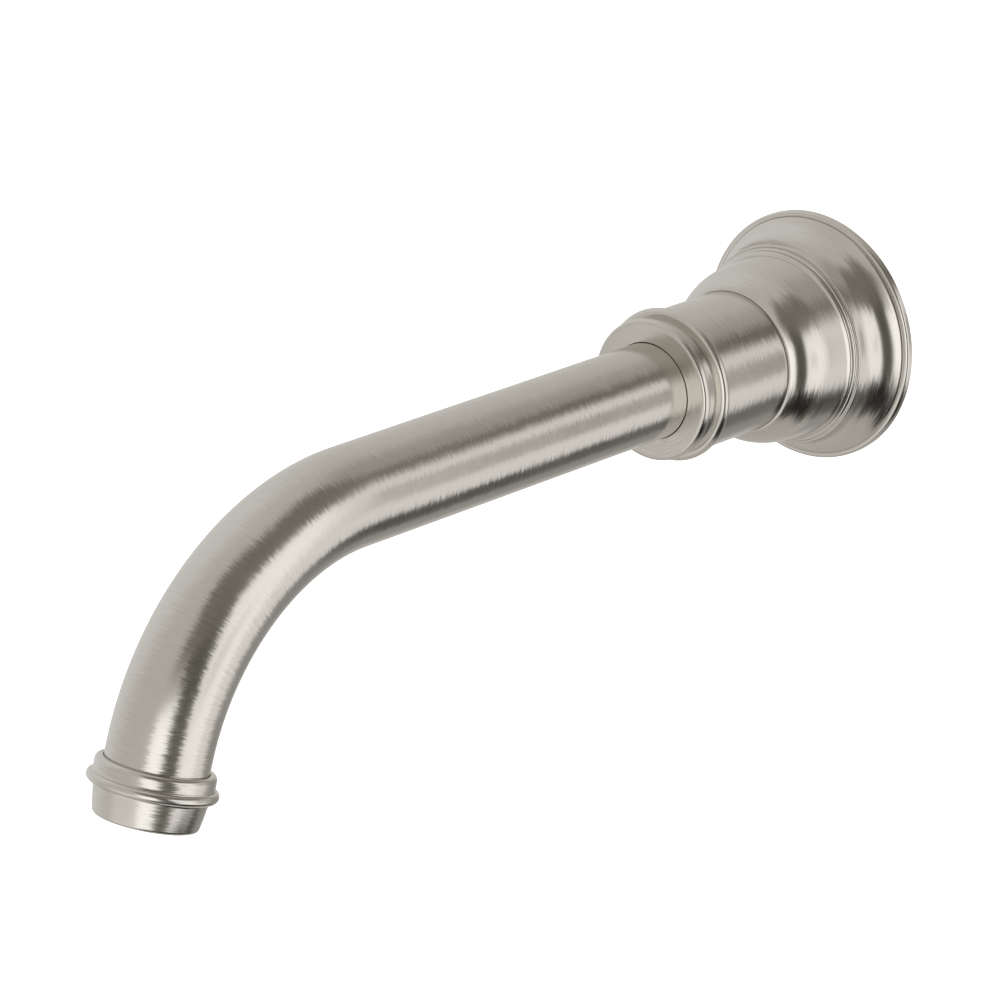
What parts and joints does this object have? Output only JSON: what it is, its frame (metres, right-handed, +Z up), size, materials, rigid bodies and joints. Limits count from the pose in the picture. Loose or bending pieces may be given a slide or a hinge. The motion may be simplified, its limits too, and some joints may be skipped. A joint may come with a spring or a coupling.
{
  "type": "wall mounted bath spout",
  "caption": "Wall mounted bath spout: a bell flange and plain neck, a beaded collar, and a round tube that runs out level and bends down to a beaded, tapered outlet.",
  "frame": {"origin": "centre of the wall flange's back face, on the wall plane and on the axis of the inlet thread", "axes": "+Z up, +Y into the wall, X across; the spout reaches out along -Y and its outlet points down"},
  "size_m": [0.0596, 0.2297, 0.0885],
  "materials": {
    "satin_nickel": "brushed nickel plate, fine brush lines round each piece",
    "brass": "machined, unplated",
    "rubber": "matte black seal rubber",
    "white_plastic": "satin moulded",
    "stainless": "plain stainless"
  },
  "bodies": {
    "wall_side": {"inlet_adapter": "brass", "inlet_washer": "rubber", "adapter_o_ring_rear": "rubber", "adapter_o_ring_front": "rubber", "neck_sleeve": "satin_nickel"},
    "grub": {"grub_screw": "stainless"},
    "flange": {"wall_flange": "satin_nickel", "flange_gasket": "rubber", "flange_o_ring": "rubber"},
    "collar": {"collar_nut": "satin_nickel"},
    "spout": {"spout_tube": "satin_nickel", "spout_ferrule": "brass", "spout_o_ring_rear": "rubber", "spout_o_ring_front": "rubber", "slip_washer": "white_plastic", "bearing_bush": "white_plastic", "outlet_nozzle": "satin_nickel"},
    "cartridge_seal": {"outlet_seal": "rubber"},
    "cartridge": {"straightener_housing": "white_plastic", "straightener_core": "white_plastic", "debris_screen": "stainless"}
  },
  "joints": [
    {"name": "spout_swivel", "type": "hinge", "parent": "wall_side", "child": "spout", "pos_m": [0, -0.0494, 0], "axis": [0, -1, 0], "range_deg": [-90, 90]},
    {"name": "flange_slide", "type": "slide", "parent": "wall_side", "child": "flange", "axis": [0, -1, 0], "range_m": [0, 0.018]},
    {"name": "collar_turn", "type": "hinge", "parent": "wall_side", "child": "collar", "pos_m": [0, -0.0554, 0], "axis": [0, -1, 0], "range_deg": [0, 180]},
    {"name": "grub_turn", "type": "hinge", "parent": "wall_side", "child": "grub", "pos_m": [0, -0.0092, -0.0142], "axis": [0, 0, -1], "range_deg": [0, 720]},
    {"name": "cartridge_drop", "type": "slide", "parent": "spout", "child": "cartridge_seal", "axis": [0, -0.2857, -0.9583], "range_m": [0, 0.003]},
    {"name": "cartridge_turn", "type": "hinge", "parent": "cartridge_seal", "child": "cartridge", "pos_m": [0, -0.21774, -0.05329], "axis": [0, -0.2857, -0.9583], "range_deg": [0, 1080]}
  ],
  "couplings": [
    {"joint": "cartridge_turn", "follows": "cartridge_drop", "rad_per_m": 6283.2}
  ]
}
